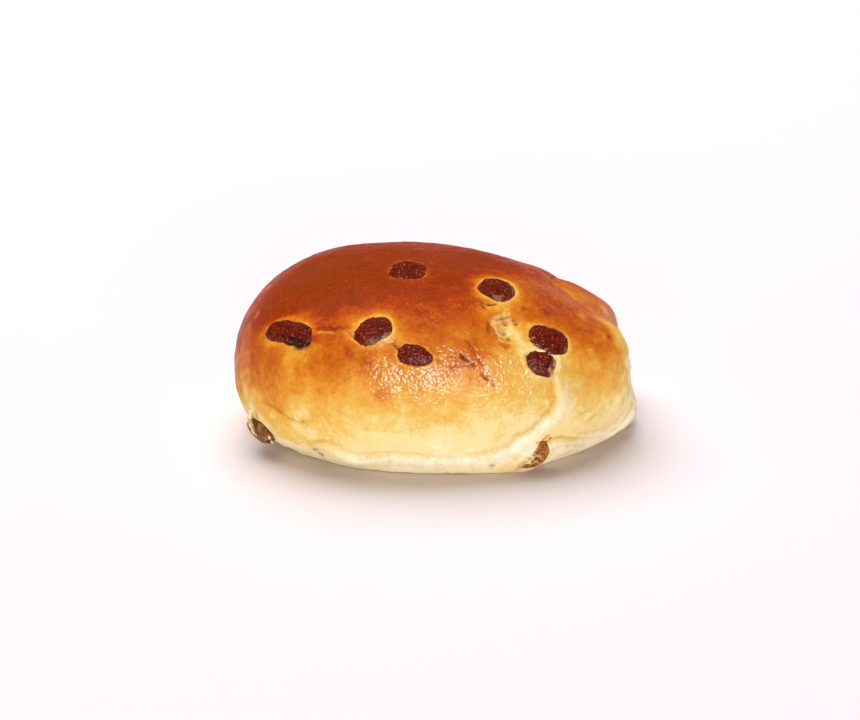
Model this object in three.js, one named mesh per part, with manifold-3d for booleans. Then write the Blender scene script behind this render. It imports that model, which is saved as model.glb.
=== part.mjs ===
// A raisin bun: one piece of soft sweet dough, proved, glazed and baked beside others on a tray, with
// whole raisins that show at its crust. The dough is one solid with a pocket for each raisin that
// shows, and each of those raisins is a solid of its own, set in its pocket.
//
// Millimetres, +Z up. The bun lies on the plane z = 0, +X runs along its length towards the end that
// baked against the next bun, and -Y is the side with the long fold.

import * as THREE from 'three';
import { mergeVertices } from 'three/addons/utils/BufferGeometryUtils.js';
import Module from 'manifold-3d';

const wasm = await Module();
wasm.setup();

// ---------------------------------------------------------------- driving dimensions

// The bun is a big round swell of dough, drawn out into a lower one on the right.
// An egg is a rounded solid with a height of its own above and below its middle.
const EGG_SQUARENESS = 2.3;
const MAIN_SWELL = { middle: [-9.7, 0, 18], side: 45, front: 42, up: 30.9, down: 25 };
const RIGHT_SWELL = { middle: [14.6, 0, 14], side: 43.5, front: 37, up: 26, down: 20 };
const SWELL_JOIN = 12;

// The foot is the pale dough that spread on the tray, under the swells' undercut sides.
const FOOT = { middle: [4.6, 0, 3], side: 48.5, front: 36.6, up: 9, down: 9 };
const FOOT_JOIN = 2;

// Flat sides, where the dough met its neighbours: out is the side's direction, reach how far it lies
// from the origin, and round how softly it meets the rest.
const TORN_END = { out: [1, 0, 0.18], reach: 55.0, round: 3 };
const LEANING_SIDE = { out: [0.7, -0.7, -0.2], reach: 44.5, round: 7 };
const FOOT_END = { out: [1, 0, 0], reach: 55.6, round: 2 };
const FOOT_SIDE = { out: [0.72, -0.69, 0], reach: 41.0, round: 2 };

// The tray's top is the plane z = 0, and the dough is cut off there. Its block is larger than the bun.
const TRAY = { length: 200, width: 200, thick: 40 };

// Swellings and hollows of the unevenly risen dough: the height is positive outwards.
const SWELLINGS = [
  { at: [6, 0, 50], reach: 16, height: -1.4 },
  { at: [-30, 0, 40], reach: 12, height: -1.0 },
  { at: [43, 0, 33], reach: 10, height: -2.0 },
  { at: [-34, -30, 5], reach: 10, height: -1.0 },
  { at: [54, -1, 3], reach: 7, height: 1.6 },
  { at: [31, 18, 40], reach: 6, height: 0.8 },
];

// Folds run over the crust through these places, and fade out at both ends. The dough on the left
// of a fold, seen along it from outside, stands up by rise, and the dough on its right lies lower by
// drop. A negative rise makes a valley of it. Width is how far the fold's shape reaches.
const FOLDS = [
  // The long fold: along the foot at the front, then up between the two swells and down the back.
  {
    places: [
      [-26, -39, 11], [-15, -40, 8.5], [-1, -40.5, 7.5], [12, -39.5, 9], [21, -38, 12], [27, -35, 17],
      [30, -33.5, 21], [31.3, -30, 29], [31.8, -22, 36], [32.6, -8, 39], [34, 11, 38], [34, 26, 30],
      [32, 34, 19], [27, 37, 10], [15, 39, 7],
    ],
    rises: [0, 1.0, 1.4, 1.4, 1.3, 1.1, 0.4, -0.4, -0.5, -0.4, -0.5, -0.5, 0, 0.6, 0],
    drops: [0, 0.9, 1.2, 1.2, 1.2, 1.4, 1.6, 1.3, 1.0, 0.8, 0.8, 0.9, 1.0, 0.8, 0],
    width: 3.6,
  },
  // The short fold: from the long one to the torn end, above the flap of dough at the foot.
  {
    places: [[27, -34, 10], [33, -29, 7.5], [41, -20, 6], [46, -15, 7], [51, -9, 8.5], [55, -2, 10]],
    rises: [0, 0.9, 1.1, 1.1, 1.0, 0],
    drops: [0, 0.8, 1.1, 1.1, 0.8, 0],
    width: 2.6,
  },
  // The fold round the left end and the back, just above the foot.
  {
    places: [[8, 40, 7], [-12, 40, 8], [-30, 34, 9], [-44, 22, 10], [-50, 8, 10], [-51, -6, 9]],
    rises: [0, 1.1, 1.1, 1.0, 0.8, 0],
    drops: [0, 0.8, 1.0, 0.9, 0.7, 0],
    width: 3.4,
  },
];
const FOLD_EDGE = 1.2;
const FOLD_STEPS = 60;

// Raisins: at is the place on the crust, length, width and thick the whole raisin's size, turn the
// angle of its length from the bun's, in degrees, and proud how far its crown stands out of the
// dough. Point narrows one end of it: 0 is oval.
const RAISINS = [
  {
    name: 'raisin_top', at: [-7.2, -10.2, 48], turn: 80,
    length: 13.4, width: 9.6, thick: 4.4, proud: 0.9, point: 0.08,
  },
  {
    name: 'raisin_top_right', at: [16.3, -14.6, 44], turn: 66,
    length: 13.2, width: 9.8, thick: 4.4, proud: 0.9, point: 0,
  },
  {
    name: 'raisin_left', at: [-38.3, -26.3, 36.4], turn: -24,
    length: 16, width: 7.2, thick: 4.6, proud: 1, point: 0,
  },
  {
    name: 'raisin_front', at: [-15.8, -32.9, 39.3], turn: 26,
    length: 10.6, width: 7.8, thick: 4.2, proud: 0.9, point: 0,
  },
  {
    name: 'raisin_middle', at: [-5, -37.3, 34], turn: -12,
    length: 10.3, width: 6, thick: 4.2, proud: 0.9, point: 0.2,
  },
  {
    name: 'raisin_right', at: [29.8, -26.4, 34.1], turn: -6,
    length: 11.4, width: 8.4, thick: 4.4, proud: 1, point: 0.06,
  },
  {
    name: 'raisin_right_low', at: [27.2, -32.2, 29], turn: -10,
    length: 8.8, width: 6.2, thick: 4.2, proud: 0.9, point: 0,
  },
  {
    name: 'raisin_left_foot', at: [-45.6, -22, 7.2], turn: 66,
    length: 11, width: 7.4, thick: 5.6, proud: 2.6, point: 0.1,
  },
  {
    name: 'raisin_front_foot', at: [26.1, -33.5, 5.3], turn: 60,
    length: 12, width: 6.2, thick: 4.4, proud: 0.8, point: 0,
  },
  {
    name: 'raisin_back_left', at: [-24, 30, 34], turn: 35,
    length: 12, width: 9, thick: 4.4, proud: 0.9, point: 0.1,
  },
  {
    name: 'raisin_back_middle', at: [2, 37, 28], turn: -20,
    length: 11, width: 8.4, thick: 4.4, proud: 0.9, point: 0,
  },
  {
    name: 'raisin_back_right', at: [24, 29, 31], turn: 12,
    length: 12.6, width: 9.2, thick: 4.4, proud: 0.9, point: 0,
  },
  {
    name: 'raisin_back_low', at: [-36, 32, 19], turn: 50,
    length: 10.4, width: 8, thick: 4.4, proud: 1, point: 0.15,
  },
];
const RAISIN_SQUARENESS = 2.6;
const RAISIN_WRINKLE = 0.03;
const POCKET_GAP = 0.3;

// Fineness of the solids, as the number of cuts along each edge of a twenty-sided start. The dough's
// facets are smaller on the side that FINER_TOWARDS points to.
const DOUGH_CUTS = 16;
const FINER_TOWARDS = new THREE.Vector3(0.05, -0.2, 0.1);
const RAISIN_CUTS = 2;

// The dough's surface is found along rays from this place inside it.
const HEART = new THREE.Vector3(0, 0, 20);
const RAY_END = 80;
const RAY_HALVINGS = 30;
const SLOPE_STEP = 0.4;

// ---------------------------------------------------------------- the dough's form

// The smaller of two distances, with the corner between them rounded.
function softMin(a, b, round) {
  const share = THREE.MathUtils.clamp(0.5 + (0.5 * (b - a)) / round, 0, 1);
  return THREE.MathUtils.lerp(b, a, share) - round * share * (1 - share);
}

function softMax(a, b, round) {
  return -softMin(-a, -b, round);
}

// About how far a place lies outside an egg: negative inside it.
function outsideEgg(place, egg, squareness) {
  const x = place.x - egg.middle[0];
  const y = place.y - egg.middle[1];
  const z = place.z - egg.middle[2];
  const tall = z > 0 ? egg.up : egg.down;
  const sum = Math.abs(x / egg.side) ** squareness
    + Math.abs(y / egg.front) ** squareness
    + Math.abs(z / tall) ** squareness;
  const share = Math.max(sum ** (1 / squareness), 1e-6);
  return Math.hypot(x, y, z) * (1 - 1 / share);
}

function cutFlat(distance, place, side) {
  const out = new THREE.Vector3(...side.out).normalize();
  return softMax(distance, place.dot(out) - side.reach, side.round);
}

// About how far a place lies outside the plain form of the dough, before its folds.
function outsideDough(place) {
  let body = softMin(
    outsideEgg(place, MAIN_SWELL, EGG_SQUARENESS),
    outsideEgg(place, RIGHT_SWELL, EGG_SQUARENESS),
    SWELL_JOIN,
  );
  body = cutFlat(body, place, TORN_END);
  body = cutFlat(body, place, LEANING_SIDE);

  let foot = outsideEgg(place, FOOT, EGG_SQUARENESS);
  foot = cutFlat(foot, place, FOOT_SIDE);
  foot = cutFlat(foot, place, FOOT_END);

  let distance = softMin(body, foot, FOOT_JOIN);
  for (const { at, reach, height } of SWELLINGS) {
    const away = place.distanceTo(new THREE.Vector3(...at));
    distance -= height * Math.exp(-((away / reach) ** 2));
  }
  return distance;
}

// The place where a ray from the heart leaves the plain form, found by halving.
function onDough(direction) {
  let inside = 0;
  let outside = RAY_END;
  const place = new THREE.Vector3();
  for (let i = 0; i < RAY_HALVINGS; i++) {
    const middle = (inside + outside) / 2;
    place.copy(HEART).addScaledVector(direction, middle);
    if (outsideDough(place) < 0) {
      inside = middle;
    } else {
      outside = middle;
    }
  }
  return place;
}

// The direction straight out of the dough at a place on it.
function outwardAt(place) {
  const slope = ['x', 'y', 'z'].map((axis) => {
    const ahead = place.clone();
    const behind = place.clone();
    ahead[axis] += SLOPE_STEP;
    behind[axis] -= SLOPE_STEP;
    return outsideDough(ahead) - outsideDough(behind);
  });
  return new THREE.Vector3(...slope).normalize();
}

// ---------------------------------------------------------------- folds

// A value that runs evenly through a list as share goes from 0 to 1.
function through(list, share) {
  const step = share * (list.length - 1);
  const first = Math.min(Math.floor(step), list.length - 2);
  return THREE.MathUtils.lerp(list[first], list[first + 1], step - first);
}

// The place on the plain form that lies in line with a rough place, seen from the heart.
function ontoDough(rough) {
  return onDough(rough.clone().sub(HEART).normalize());
}

// Each fold as closely spaced places on the dough, with the direction it runs in.
const foldTracks = FOLDS.map((fold) => {
  const curve = new THREE.CatmullRomCurve3(fold.places.map((p) => new THREE.Vector3(...p)));
  const stations = [];
  for (let i = 0; i <= FOLD_STEPS; i++) {
    const share = i / FOLD_STEPS;
    const place = ontoDough(curve.getPoint(share));
    stations.push({ share, place, along: curve.getTangent(share) });
  }
  return { fold, stations };
});

// How far the folds lift or lower the crust at a place.
function foldRelief(place, outward) {
  let relief = 0;
  for (const { fold, stations } of foldTracks) {
    let nearest = stations[0];
    for (const station of stations) {
      if (station.place.distanceToSquared(place) < nearest.place.distanceToSquared(place)) {
        nearest = station;
      }
    }
    const offset = place.clone().sub(nearest.place);
    const towardsRise = outward.clone().cross(nearest.along);
    const side = offset.dot(towardsRise);
    const risen = THREE.MathUtils.smoothstep(side, -FOLD_EDGE, FOLD_EDGE);
    const fade = Math.exp(-offset.length() / fold.width);
    const rise = through(fold.rises, nearest.share);
    const drop = through(fold.drops, nearest.share);
    relief += fade * (rise * risen - drop * (1 - risen));
  }
  return relief;
}

// ---------------------------------------------------------------- shapes

// A ball of evenly spread places, each moved to where shape() puts its direction.
function shapedBall(cuts, shape) {
  const geometry = new THREE.IcosahedronGeometry(1, cuts);
  geometry.deleteAttribute('normal');
  geometry.deleteAttribute('uv');
  const merged = mergeVertices(geometry, 1e-5);
  const places = merged.attributes.position;
  const direction = new THREE.Vector3();
  for (let i = 0; i < places.count; i++) {
    direction.fromBufferAttribute(places, i).normalize();
    const place = shape(direction);
    places.setXYZ(i, place.x, place.y, place.z);
  }
  return merged;
}

function doughShape(evenDirection) {
  const place = onDough(evenDirection.clone().add(FINER_TOWARDS).normalize());
  const outward = outwardAt(place);
  return place.addScaledVector(outward, foldRelief(place, outward));
}

// A raisin about its own middle: X along it, Y across it, Z out of the crust. Grown makes the
// same form larger all round, for its pocket.
function raisinShape(raisin, seed, grown) {
  return (direction) => {
    const n = RAISIN_SQUARENESS;
    const sum = Math.abs(direction.x) ** n + Math.abs(direction.y) ** n + Math.abs(direction.z) ** n;
    const wrinkle = Math.sin(5 * direction.x + 7 * direction.y + seed)
      + Math.sin(6 * direction.y - 5 * direction.z + 2 * seed)
      + Math.sin(7 * direction.z + 4 * direction.x + 3 * seed);
    const reach = sum ** (-1 / n) * (1 + RAISIN_WRINKLE * wrinkle);
    const narrow = 1 - raisin.point * direction.x;
    return new THREE.Vector3(
      direction.x * reach * (raisin.length / 2 + grown),
      direction.y * reach * narrow * (raisin.width / 2 + grown),
      direction.z * reach * (raisin.thick / 2 + grown),
    );
  };
}

// The raisin's own axes and middle, on the crust at its place.
function raisinFrame(raisin) {
  const place = ontoDough(new THREE.Vector3(...raisin.at));
  const outward = outwardAt(place);
  const level = new THREE.Vector3(1, 0, 0).addScaledVector(outward, -outward.x).normalize();
  const upslope = outward.clone().cross(level);
  const turn = THREE.MathUtils.degToRad(raisin.turn);
  const along = level.clone().multiplyScalar(Math.cos(turn)).addScaledVector(upslope, Math.sin(turn));
  const across = outward.clone().cross(along);
  place.addScaledVector(outward, raisin.proud - raisin.thick / 2);
  return new THREE.Matrix4().makeBasis(along, across, outward).setPosition(place);
}

// ---------------------------------------------------------------- cutting the pockets

function toSolid(geometry) {
  return new wasm.Manifold(new wasm.Mesh({
    numProp: 3,
    vertProperties: Float32Array.from(geometry.attributes.position.array),
    triVerts: Uint32Array.from(geometry.index.array),
  }));
}

function toGeometry(solid) {
  const mesh = solid.getMesh();
  const geometry = new THREE.BufferGeometry();
  geometry.setAttribute('position', new THREE.BufferAttribute(mesh.vertProperties, 3));
  geometry.setIndex(new THREE.BufferAttribute(mesh.triVerts, 1));
  return geometry;
}

// ---------------------------------------------------------------- the bun

const crust = () => new THREE.MeshStandardMaterial({ color: '#cf7a2c', roughness: 0.35, metalness: 0 });
const skin = () => new THREE.MeshStandardMaterial({ color: '#5a2216', roughness: 0.4, metalness: 0 });

const bun = new THREE.Group();
const tray = new THREE.BoxGeometry(TRAY.length, TRAY.width, TRAY.thick).translate(0, 0, -TRAY.thick / 2);
tray.deleteAttribute('normal');
tray.deleteAttribute('uv');
let dough = toSolid(shapedBall(DOUGH_CUTS, doughShape)).subtract(toSolid(mergeVertices(tray)));

RAISINS.forEach((raisin, seed) => {
  const frame = raisinFrame(raisin);
  const pocket = shapedBall(RAISIN_CUTS, raisinShape(raisin, seed, POCKET_GAP)).applyMatrix4(frame);
  dough = dough.subtract(toSolid(pocket));

  const mesh = new THREE.Mesh(shapedBall(RAISIN_CUTS, raisinShape(raisin, seed, 0)), skin());
  mesh.name = raisin.name;
  mesh.applyMatrix4(frame);
  bun.add(mesh);
});

const doughMesh = new THREE.Mesh(toGeometry(dough), crust());
doughMesh.name = 'dough';
bun.add(doughMesh);

// The origin goes under the middle of the whole bun.
const box = new THREE.Box3().setFromObject(bun);
bun.position.set(-(box.min.x + box.max.x) / 2, -(box.min.y + box.max.y) / 2, 0);

export default bun;
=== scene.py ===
import math

import bmesh
import bpy
import numpy as np
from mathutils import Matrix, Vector, noise
from mathutils.kdtree import KDTree


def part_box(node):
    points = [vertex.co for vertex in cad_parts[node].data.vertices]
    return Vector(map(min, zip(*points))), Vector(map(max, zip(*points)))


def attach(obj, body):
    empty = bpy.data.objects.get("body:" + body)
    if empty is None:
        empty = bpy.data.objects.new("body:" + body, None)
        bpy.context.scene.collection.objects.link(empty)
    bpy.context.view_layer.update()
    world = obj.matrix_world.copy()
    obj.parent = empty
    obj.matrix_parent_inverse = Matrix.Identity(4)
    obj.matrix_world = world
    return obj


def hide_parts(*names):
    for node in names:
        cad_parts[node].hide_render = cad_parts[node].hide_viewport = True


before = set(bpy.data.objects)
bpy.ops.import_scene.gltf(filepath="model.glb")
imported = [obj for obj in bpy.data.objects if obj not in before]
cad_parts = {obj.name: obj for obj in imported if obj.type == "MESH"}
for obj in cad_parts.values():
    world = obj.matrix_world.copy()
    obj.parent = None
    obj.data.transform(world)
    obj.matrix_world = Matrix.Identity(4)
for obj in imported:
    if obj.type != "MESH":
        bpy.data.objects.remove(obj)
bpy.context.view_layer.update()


# ======================================== the dough
# One piece of soft sweet dough, rounded by hand, proved until it slumped to one side, brushed with
# egg and baked close to its neighbours. It is one swell drawn out into a lower one, on a paler foot
# that spread over the tray. Lengths in this file are in millimetres until a mesh is made.

# An egg is a rounded solid with a height of its own above and below its middle.
EGG_SQUARENESS = 2.3
MAIN_SWELL = {"middle": (-9.7, 0, 18), "side": 45, "front": 42, "up": 30.9, "down": 25}
RIGHT_SWELL = {"middle": (14.6, 0, 14), "side": 43.5, "front": 37, "up": 26, "down": 20}
SWELL_JOIN = 12
FOOT = {"middle": (4.6, 0, 3), "side": 48.5, "front": 36.6, "up": 9, "down": 9}
FOOT_JOIN = 2

# Flat sides, where the dough met its neighbours.
TORN_END = {"out": (1, 0, 0.18), "reach": 55.0, "rounding": 3}
LEANING_SIDE = {"out": (0.7, -0.7, -0.2), "reach": 44.5, "rounding": 7}
FOOT_END = {"out": (1, 0, 0), "reach": 55.6, "rounding": 2}
FOOT_SIDE = {"out": (0.72, -0.69, 0), "reach": 41.0, "rounding": 2}
TRAY = {"out": (0, 0, -1), "reach": 0, "rounding": 0.6}

# Swellings and hollows: place, how far it reaches, and its height outwards.
SWELLINGS = [
    ((6, 0, 50), 16, -1.4),
    ((-30, 0, 40), 12, -1.0),
    ((43, 0, 33), 10, -2.0),
    ((-34, -30, 5), 10, -1.0),
    ((54, -1, 3), 7, 1.6),
    ((31, 18, 40), 6, 0.8),
]

# The crust is found along rays from this place inside the dough.
HEART = np.array((0, 0, 20.0))
RAY_END = 80
RAY_HALVINGS = 24
SLOPE_STEP = 0.4


def soft_min(a, b, rounding):
    share = np.clip(0.5 + 0.5 * (b - a) / rounding, 0, 1)
    return b + (a - b) * share - rounding * share * (1 - share)


def unit(vectors):
    vectors = np.asarray(vectors, float)
    return vectors / np.linalg.norm(vectors, axis=-1, keepdims=True)


def smooth(value, start, end):
    share = np.clip((value - start) / (end - start), 0, 1)
    return share * share * (3 - 2 * share)


def away_from(place, places):
    return np.linalg.norm(places - np.array(place), axis=1)


def bell(share):
    """1 where the share of a reach is 0, falling softly to almost nothing at 2."""
    return np.exp(-(share**2))


def outside_egg(places, egg):
    offset = places - np.array(egg["middle"])
    tall = np.where(offset[:, 2] > 0, egg["up"], egg["down"])
    reaches = np.stack((np.full(len(tall), egg["side"]), np.full(len(tall), egg["front"]), tall), 1)
    share = (np.abs(offset / reaches) ** EGG_SQUARENESS).sum(1) ** (1 / EGG_SQUARENESS)
    return np.linalg.norm(offset, axis=1) * (1 - 1 / np.maximum(share, 1e-6))


def cut_flat(distance, places, side):
    return -soft_min(-distance, side["reach"] - places @ unit(side["out"]), side["rounding"])


def outside_dough(places):
    body = soft_min(outside_egg(places, MAIN_SWELL), outside_egg(places, RIGHT_SWELL), SWELL_JOIN)
    body = cut_flat(body, places, TORN_END)
    body = cut_flat(body, places, LEANING_SIDE)
    foot = cut_flat(outside_egg(places, FOOT), places, FOOT_SIDE)
    foot = cut_flat(foot, places, FOOT_END)
    distance = soft_min(body, foot, FOOT_JOIN)
    for middle, reach, height in SWELLINGS:
        distance = distance - height * bell(away_from(middle, places) / reach)
    return cut_flat(distance, places, TRAY)


def on_dough(directions):
    inside = np.zeros(len(directions))
    outside = np.full(len(directions), float(RAY_END))
    for _ in range(RAY_HALVINGS):
        middle = (inside + outside) / 2
        within = outside_dough(HEART + directions * middle[:, None]) < 0
        inside = np.where(within, middle, inside)
        outside = np.where(within, outside, middle)
    return HEART + directions * inside[:, None]


def outward_at(places):
    slopes = [
        outside_dough(places + SLOPE_STEP * axis) - outside_dough(places - SLOPE_STEP * axis)
        for axis in np.eye(3)
    ]
    return unit(np.stack(slopes, 1))


def onto_dough(rough):
    return on_dough(unit(np.atleast_2d(rough) - HEART))


# Each random pattern is taken this far from the one before it, in lumps.
PATTERN_STEP = 17.3


def lumps(places, size, octaves, seed):
    """Soft random values from about -1 to 1, in lumps about size millimetres wide. Each further
    octave puts lumps of half the width and half the height on them."""
    shifted = places / size + PATTERN_STEP * seed
    return np.array([noise.fractal(Vector(p), 1.0, 2.0, octaves) for p in shifted])


# The ball of the dough starts as a cube with a fine grid on each side, so that it is all in
# four-sided faces. They are smaller at the front and the top, where the crust has most detail.
GRID = 128
FINER_TOWARDS = np.array((0.05, -0.25, 0.25))

grid = np.arange(GRID + 1) * 2 - GRID
first, second = (axis.ravel() for axis in np.meshgrid(grid, grid, indexing="ij"))
corner = np.arange(GRID)[:, None] * (GRID + 1) + np.arange(GRID)
quad = np.stack((corner, corner + GRID + 1, corner + GRID + 2, corner + 1), -1).reshape(-1, 4)
lattice, quads = [], []
for axis in range(3):
    for sign in (-1, 1):
        side = np.empty((len(first), 3), int)
        side[:, axis] = sign * GRID
        side[:, (axis + 1) % 3] = first
        side[:, (axis + 2) % 3] = second
        quads.append((quad if sign > 0 else quad[:, ::-1]) + len(lattice) * len(first))
        lattice.append(side)
lattice, welded = np.unique(np.concatenate(lattice), axis=0, return_inverse=True)
dough_faces = welded.ravel()[np.concatenate(quads)]
even = unit(np.tan(lattice / GRID * math.pi / 4))
plain = on_dough(unit(even + FINER_TOWARDS))
outward = outward_at(plain)
relief = np.zeros(len(plain))
slide = np.zeros_like(plain)

# Folds run over the crust, where the dough was tucked and slumped. Each has how far its step
# reaches, how far its line wanders and how dark the painted shade in its crease is, and then the
# places along it. With each place comes how far the dough on the left of the line, seen along it
# from outside, stands up, how far that on the right lies lower, how deep the crease between them is,
# how high the rounded edge that the lower dough has along it, and how much darker the line is, which
# is partly browning and partly painted shade.
FOLDS = [
    # the long one, from the foot at the left, up over the top and down the back
    ((4.5, 0.5, 0.1), [
        ((-32.5, -34, 8), 0, 0, 0.2, 0, 0.05), ((-30, -37, 10.3), 0.2, -0.3, 0.8, 0.4, 0.1),
        ((-26, -38.3, 9.9), 0.2, -0.3, 1.1, 0.7, 0.1), ((-21, -37.5, 6), 0.3, -0.2, 1.3, 0.9, 0.12),
        ((-14, -39.7, 8), 0.4, 0, 1.3, 0.7, 0.16), ((-5, -40.2, 7.7), 0.4, 0, 1.2, 0.7, 0.16),
        ((5, -39, 6.2), 0.4, 0, 1.2, 0.6, 0.14), ((11.5, -39, 7.4), 0.3, -0.1, 1.2, 0.7, 0.16),
        ((18, -38.5, 9.6), 0, -0.3, 1.1, 0.6, 0.16), ((21, -38.3, 12.4), 0, -0.4, 0.9, 0.7, 0.18),
        ((24, -37.5, 14.3), 0, -0.5, 0.9, 1.0, 0.16), ((27, -36.3, 16.6), 0, -0.5, 1.0, 1.3, 0.14),
        ((29.4, -35, 18.8), -0.2, -0.6, 1.0, 1.5, 0.14),
        ((30.2, -34.5, 21), -0.3, -0.6, 1.0, 1.5, 0.14),
        ((29.7, -34, 24), -0.3, -0.6, 0.8, 1.4, 0.14),
        ((30.2, -32, 28), -0.1, -0.2, 0.2, 0.7, 0.05), ((31.8, -22, 36), 0, 0, 0, 0, 0),
        ((32.6, -8, 39), 0, 0, 0, 0, 0), ((33.6, 4, 38.8), -0.1, 0.4, 0.1, 0, 0),
        ((32, 12, 38.6), -0.3, 0.9, 0.3, 0, 0), ((34, 26, 30), -0.5, 1.1, 0.4, 0.2, 0),
        ((32, 34, 19), 0, 1.0, 0.6, 0.6, 0), ((27, 37, 10), 0.6, 0.8, 0.6, 0.4, 0),
        ((15, 39, 7), 0, 0, 0, 0, 0),
    ]),
    # the lip of the foot under the right end
    ((2.6, 0.3, 0.42), [
        ((27.5, -35, 9.8), 0.4, 0.2, 1.2, 0, 0.2), ((30.5, -33.2, 9), 0.4, 0.3, 1, 0.2, 0.16),
        ((33, -31.5, 8.7), 0.5, 0.3, 0.9, 0.4, 0.1), ((36.8, -28, 7.3), 0.6, 0.2, 0.9, 0.5, 0.1),
        ((41.3, -23, 5), 0.6, 0.2, 0.8, 0.5, 0.08), ((45.7, -18, 4.2), 0.6, 0, 0.8, 0.6, 0.06),
        ((49.6, -13.8, 5), 0.6, -0.3, 1, 0.9, 0.05), ((52.2, -11.5, 7.5), 0.5, -0.5, 1, 0.9, 0.05),
        ((54.4, -8, 10), 0.3, -0.3, 0.5, 0.5, 0), ((55.5, -2, 11), 0, 0, 0, 0, 0),
    ]),
    # a low one round the back
    ((3.4, 0.5, 0.05), [
        ((8, 40, 7), 0, 0, 0, 0, 0), ((-12, 40, 8), 0.7, 0, 0.5, 0.4, 0.04),
        ((-30, 34, 9), 0.7, 0.2, 0.7, 0.6, 0.04), ((-44, 22, 10), 0.6, 0.1, 0.6, 0.5, 0.04),
        ((-50, 8, 10), 0.5, 0, 0.4, 0.3, 0.04), ((-51, -6, 9), 0, 0, 0, 0, 0),
    ]),
    # a short one by the front foot raisin
    ((1.5, 0.1, 0.12), [
        ((15.1, -39.2, 9.7), 0, 0, 0.1, 0, 0.06), ((16.1, -39.5, 11.8), 0.3, -0.1, 0.3, 0.1, 0.1),
        ((18.2, -39.2, 13.1), 0.3, -0.1, 0.3, 0.1, 0.08), ((20.8, -38.3, 12), 0, 0, 0.1, 0, 0.03),
    ]),
    # one at the left, over the foot
    ((2.2, 0.1, 0.2), [
        ((-45, -28.8, 17.8), 0, 0, 0.2, 0, 0.05), ((-41.7, -32, 17.4), 0.3, 0.2, 0.7, 0.1, 0.12),
        ((-38.2, -34.4, 15.9), 0.5, 0.3, 0.9, 0.1, 0.12), ((-35.3, -36, 15.2), 0, 0, 0.4, 0, 0.05),
    ]),
]
FOLD_STEPS = 260
FOLD_REACH = 16
FOLD_WANDER = 4
FOLD_EDGE = 0.4
CREASE_WIDTH = 0.6
CREASE_SHARPNESS = 1.3
UNDERCUT = 0.5
UNDERCUT_REACH = 0.8
ROLL_AWAY = 1.7
ROLL_WIDTH = 1.2
ROLL_SLOPE = 3.6
# Along each fold the line is painted darker, partly as browning and partly as shade, the dough on
# its left darker as painted shade, and the rounded edge paler as painted light.
TINT_WIDTH = 0.7
SHADE_ABOVE = 0.4
SHADE_ABOVE_REACH = 1.5
ROLL_PAINTED_LIGHT = 0.06
ROLL_LIGHT_AWAY = 2
ROLL_LIGHT_WIDTH = 2.2
FOLD_SHADE_WIDTH = 0.45


def smooth_path(places, steps):
    """A smooth line through the places, and how far along the list each of its points is."""
    places = np.array(places, float)
    share = np.linspace(0, len(places) - 1, steps)
    first = np.minimum(share.astype(int), len(places) - 2)
    t = (share - first)[:, None]
    before = places[np.maximum(first - 1, 0)]
    start = places[first]
    end = places[first + 1]
    after = places[np.minimum(first + 2, len(places) - 1)]
    line = 0.5 * (
        2 * start
        + (end - before) * t
        + (2 * before - 5 * start + 4 * end - after) * t**2
        + (3 * start - before - 3 * end + after) * t**3
    )
    return line, share


def nearest_on(line, places):
    """For each place, which point of a line is nearest, and how far away it is."""
    tree = KDTree(len(line))
    for i, point in enumerate(line):
        tree.insert(point, i)
    tree.balance()
    found = [tree.find(place) for place in places]
    return np.array([f[1] for f in found], int), np.array([f[2] for f in found])


def beside_line(places, normals, line, reach):
    """For the places near a line on the crust: which they are, their distance to its left, how
    far they are from it, which of its points is nearest, and which way is left."""
    low = line.min(0) - reach
    high = line.max(0) + reach
    near = np.flatnonzero(((places > low) & (places < high)).all(1))
    nearest, away = nearest_on(line, places[near])
    near, nearest, away = (values[away < reach] for values in (near, nearest, away))
    along = unit(np.gradient(line, axis=0))[nearest]
    left = np.cross(normals[near], along)
    offset = ((places[near] - line[nearest]) * left).sum(1)
    return near, offset, away, nearest, left


fold_browning_shade_and_light = np.zeros(len(plain))
fold_crease_shade = np.zeros(len(plain))
for number, ((width, ragged, darkest_crease_shade), along_fold) in enumerate(FOLDS):
    rough, share = smooth_path([point[0] for point in along_fold], FOLD_STEPS)
    wander = ragged * lumps(rough, FOLD_WANDER, 4, number)
    line = onto_dough(rough)
    line_out = outward_at(line)
    line += np.cross(line_out, unit(np.gradient(line, axis=0))) * wander[:, None]
    near, offset, away, nearest, left = beside_line(plain, outward, line, FOLD_REACH)
    rise, drop, deep, rolled, line_browner_and_shaded = (
        np.interp(share[nearest], range(len(along_fold)), [point[i] for point in along_fold])
        for i in range(1, 6)
    )
    risen = smooth(offset, -FOLD_EDGE, FOLD_EDGE)
    step = np.exp(-away / width) * (rise * risen - drop * (1 - risen))
    crease = deep * np.exp(-(away / CREASE_WIDTH) ** CREASE_SHARPNESS)
    signed = np.where(offset > 0, away, -away)
    side = np.where(signed > -ROLL_AWAY, ROLL_WIDTH, ROLL_SLOPE)
    roll = rolled * bell((signed + ROLL_AWAY) / side)
    relief[near] += step - crease + roll
    undercut = UNDERCUT * deep * risen * np.exp(-away / UNDERCUT_REACH)
    slide[near] -= left * undercut[:, None]
    # The crease and the dough on its left are painted dark as their shade, and the rounded edge pale
    # as the light on it.
    line_browning_and_shade = bell(away / TINT_WIDTH)
    line_browning_and_shade += SHADE_ABOVE * (offset > 0) * np.exp(-away / SHADE_ABOVE_REACH)
    fold_browning_shade_and_light[near] += line_browner_and_shaded * line_browning_and_shade
    fold_browning_shade_and_light[near] -= ROLL_PAINTED_LIGHT * rolled * bell((signed + ROLL_LIGHT_AWAY) / ROLL_LIGHT_WIDTH)
    uneven = 1 + 0.5 * lumps(plain[near], 3, 3, 60 + number)
    dark = darkest_crease_shade * np.minimum(deep, 1) * uneven * bell(away / FOLD_SHADE_WIDTH)
    fold_crease_shade[near] = np.maximum(fold_crease_shade[near], dark)

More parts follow.
